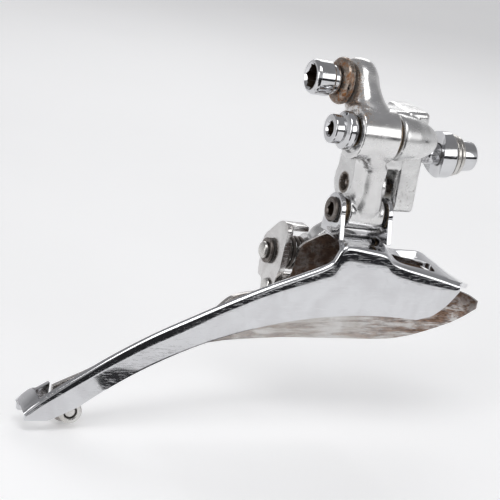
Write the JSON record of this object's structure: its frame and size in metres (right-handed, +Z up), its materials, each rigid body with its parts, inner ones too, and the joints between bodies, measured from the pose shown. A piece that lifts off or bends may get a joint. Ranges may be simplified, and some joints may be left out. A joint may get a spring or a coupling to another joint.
{
  "type": "front derailleur",
  "caption": "Braze-on front derailleur: cast body, sprung parallelogram linkage with a cable anchor, and a chromed chain cage that swings outboard.",
  "frame": {"origin": "on the fixing bolt's axis, in the plane of the body's mounting face", "axes": "+X forward along the fixing bolt, +Y inboard towards the bicycle, +Z up along the seat tube"},
  "size_m": [0.1113, 0.0271, 0.0842],
  "materials": {
    "chromed_steel": "mirror chrome plate with fine scratches",
    "polished_aluminium": "polished",
    "satin_aluminium": "satin",
    "bracket_steel": "worn plated steel",
    "zinc_steel": "worn zinc plate",
    "dark_steel": "dark and grimy",
    "rusted_steel": "brown surface rust",
    "bronze": "plain bearing bronze"
  },
  "bodies": {
    "base": {"body": "satin_aluminium", "outer_upper_pivot_bolt": "chromed_steel", "thrust_washer": "bronze", "inner_upper_pivot_pin": "dark_steel"},
    "tab_bolt": {"fixing_bolt": "chromed_steel", "radius_washer": "chromed_steel", "lock_washer": "zinc_steel", "flat_washer": "zinc_steel"},
    "low_screw": {"low_limit_screw": "zinc_steel"},
    "high_screw": {"high_limit_screw": "zinc_steel"},
    "arm": {"outer_link": "polished_aluminium", "outer_upper_bush": "bronze", "outer_lower_bush": "bronze"},
    "cable_clamp": {"cable_anchor_bolt": "chromed_steel", "cable_washer": "rusted_steel"},
    "follower": {"inner_link": "satin_aluminium", "inner_upper_bush": "bronze", "inner_lower_bush": "bronze"},
    "cage": {"outer_cage_plate": "chromed_steel", "inner_cage_plate": "chromed_steel", "inner_link_bracket": "bracket_steel", "outer_lower_pivot_bolt": "dark_steel", "inner_lower_pivot_pin": "zinc_steel", "retaining_ring": "dark_steel", "return_spring": "dark_steel", "bracket_rivet": "zinc_steel", "rear_flange_rivet": "zinc_steel", "front_flange_rivet": "zinc_steel", "tail_screw": "zinc_steel", "tail_spacer": "zinc_steel"}
  },
  "joints": [
    {"name": "arm_swing", "type": "hinge", "parent": "base", "child": "arm", "pos_m": [-0.01669, -0.01, 0.00594], "axis": [-0.9984, 0, 0.0558], "range_deg": [0, 35], "stiffness_Nm_per_rad": 0.3, "springref_deg": -57.3},
    {"name": "cage_hang", "type": "hinge", "parent": "arm", "child": "cage", "pos_m": [-0.01407, -0.0053, -0.01334], "axis": [-0.9984, 0, 0.0558], "range_deg": [-35, 0]},
    {"name": "follower_swing", "type": "hinge", "parent": "base", "child": "follower", "pos_m": [-0.00949, 0.0014, -0.00858], "axis": [-0.9984, 0, 0.0558], "range_deg": [0, 35]},
    {"name": "cable_bolt_loosen", "type": "slide", "parent": "arm", "child": "cable_clamp", "axis": [-0.9984, 0, 0.0558], "range_m": [0, 0.0025]},
    {"name": "fixing_bolt_loosen", "type": "slide", "parent": "base", "child": "tab_bolt", "axis": [1, 0, 0], "range_m": [0, 0.005]},
    {"name": "low_limit_adjust", "type": "slide", "parent": "base", "child": "low_screw", "axis": [0.0558, 0, 0.9984], "range_m": [0, 0.003]},
    {"name": "high_limit_adjust", "type": "slide", "parent": "base", "child": "high_screw", "axis": [0, 1, 0], "range_m": [0, 0.003]}
  ],
  "couplings": [
    {"joint": "cage_hang", "follows": "arm_swing", "ratio": -1},
    {"joint": "follower_swing", "follows": "arm_swing", "ratio": 1}
  ]
}
